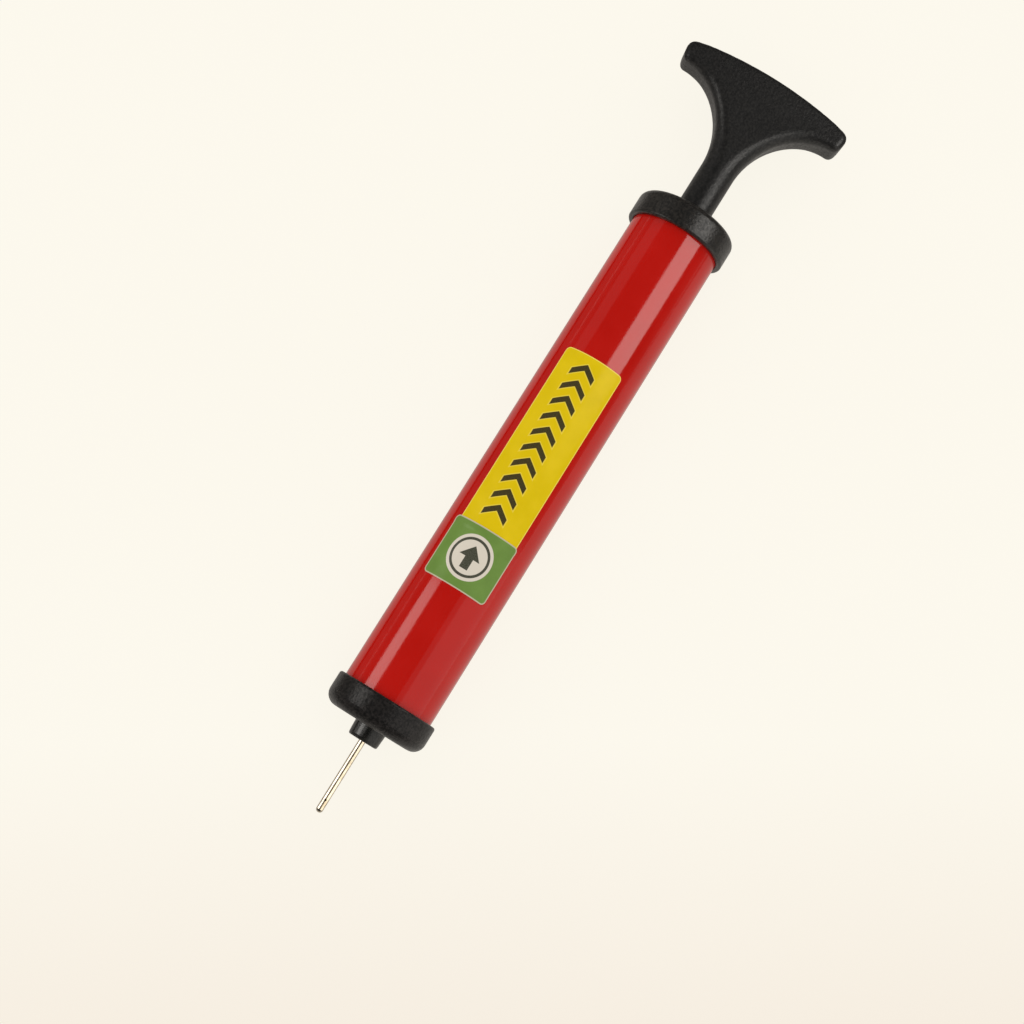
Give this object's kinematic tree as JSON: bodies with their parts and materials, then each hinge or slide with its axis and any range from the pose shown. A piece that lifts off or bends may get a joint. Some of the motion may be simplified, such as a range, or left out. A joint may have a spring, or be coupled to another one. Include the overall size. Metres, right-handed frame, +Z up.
{
  "type": "ball inflation pump",
  "caption": "Hand pump for sports balls: a tubular barrel with end caps, a sliding and turning T-handle plunger, a check valve and a screw-in inflation needle.",
  "frame": {"origin": "Centre of the pump's length and width, on the plane that it lies on.", "axes": "+X along the pump's axis from the needle to the handle, +Z up out of the label, +Y across the T-handle."},
  "size_m": [0.2868, 0.0626, 0.0357],
  "materials": {
    "barrel_red": "gloss",
    "cap_black": "satin",
    "handle_black": "satin",
    "foil_yellow": "satin",
    "foil_green": "satin",
    "nickel": "polished",
    "rod_steel": "polished",
    "steel": "satin",
    "rubber": "matte",
    "nylon": "satin"
  },
  "bodies": {
    "barrel": {"barrel_tube": "barrel_red", "bottom_cap": "cap_black", "top_cap": "cap_black", "label_panel": "foil_yellow", "label_badge": "foil_green", "nozzle_plug": "cap_black", "plug_o_ring": "rubber", "valve_seat": "nylon", "valve_spring": "steel"},
    "rod_guide": {"guide_bush": "nylon", "top_bumper": "rubber"},
    "plunger": {"handle": "handle_black", "plunger_rod": "rod_steel", "rod_end_plug": "nylon", "piston_head": "nylon", "piston_washer": "steel", "piston_screw": "steel"},
    "piston_ring": {"piston_ring": "rubber"},
    "valve_poppet": {"valve_poppet": "nylon", "valve_pad": "rubber"},
    "needle_gasket": {"needle_gasket": "rubber"},
    "needle": {"needle_base": "nickel", "needle_tube": "nickel"}
  },
  "joints": [
    {"name": "handle_spin", "type": "hinge", "parent": "barrel", "child": "rod_guide", "pos_m": [0, 0, 0.01783], "axis": [1, 0, 0], "continuous": true},
    {"name": "plunger_stroke", "type": "slide", "parent": "rod_guide", "child": "plunger", "axis": [1, 0, 0], "range_m": [0, 0.141]},
    {"name": "ring_float", "type": "slide", "parent": "plunger", "child": "piston_ring", "axis": [-1, 0, 0], "range_m": [0, 0.0015]},
    {"name": "needle_turn", "type": "hinge", "parent": "barrel", "child": "needle_gasket", "pos_m": [0, 0, 0.01783], "axis": [-1, 0, 0], "range_deg": [0, 3240]},
    {"name": "needle_travel", "type": "slide", "parent": "needle_gasket", "child": "needle", "axis": [-1, 0, 0], "range_m": [0, 0.00715]},
    {"name": "outlet_valve", "type": "slide", "parent": "barrel", "child": "valve_poppet", "axis": [-1, 0, 0], "range_m": [0, 0.0012], "stiffness_N_per_m": 60, "springref_m": -0.002, "deforming": ["valve_spring"]}
  ],
  "couplings": [
    {"joint": "needle_travel", "follows": "needle_turn", "m_per_rad": 0.00012633}
  ]
}
